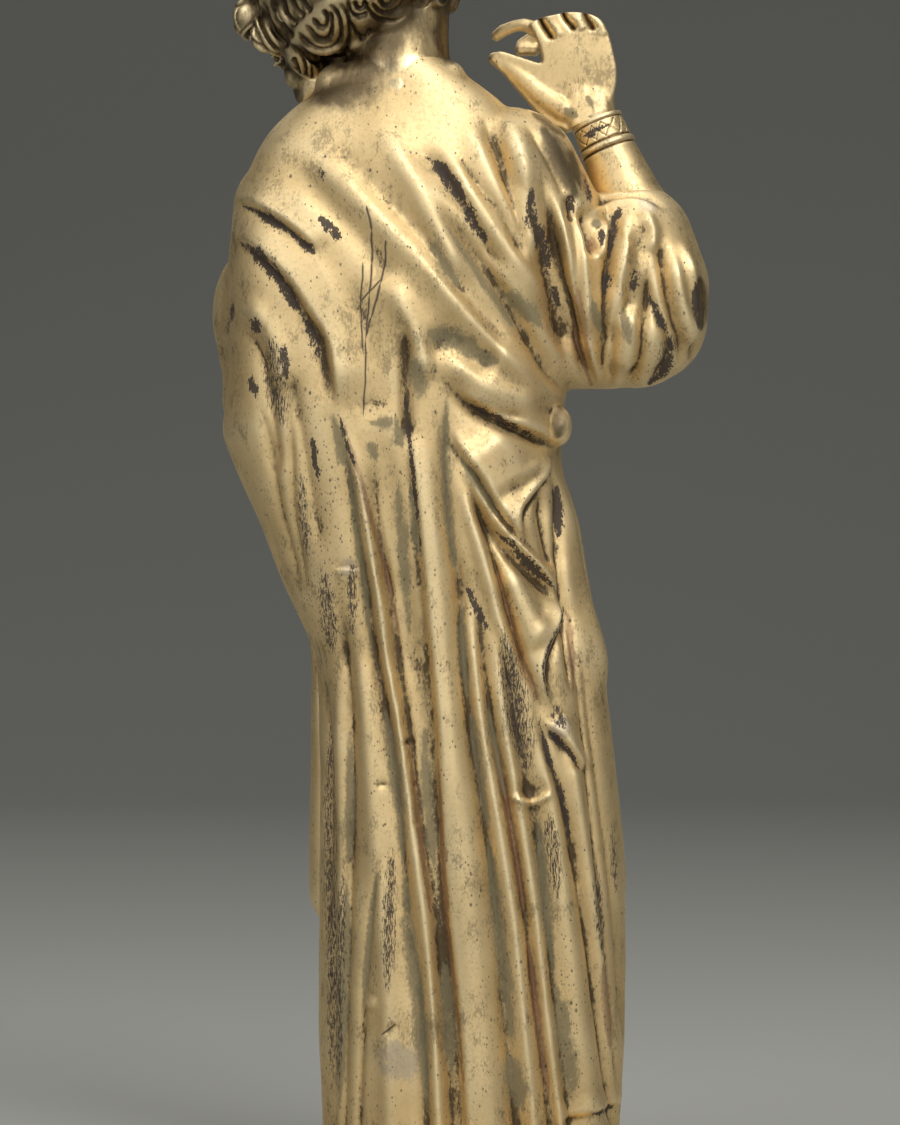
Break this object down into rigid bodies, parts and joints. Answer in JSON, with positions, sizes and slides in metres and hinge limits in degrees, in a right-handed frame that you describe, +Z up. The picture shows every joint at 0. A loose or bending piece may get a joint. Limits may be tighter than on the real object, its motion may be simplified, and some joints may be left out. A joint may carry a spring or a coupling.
{
  "type": "gilt copper statuette of a standing draped figure",
  "caption": "Gilt copper statuette of a standing youth in a long draped mantle, head tilted, one hand raised from a hollow cuff, on a low oval base.",
  "frame": {"origin": "centre of the base's underside", "axes": "+Z up; +Y the way the figure faces; +X towards the raised hand, the figure's right"},
  "size_m": [0.0939, 0.0582, 0.2566],
  "materials": {
    "gilt_copper": "worn mercury gilding over copper, with brown and olive grime in the folds"
  },
  "bodies": {
    "root": {"figure": "gilt_copper", "raised_hand": "gilt_copper", "base": "gilt_copper"}
  },
  "joints": []
}
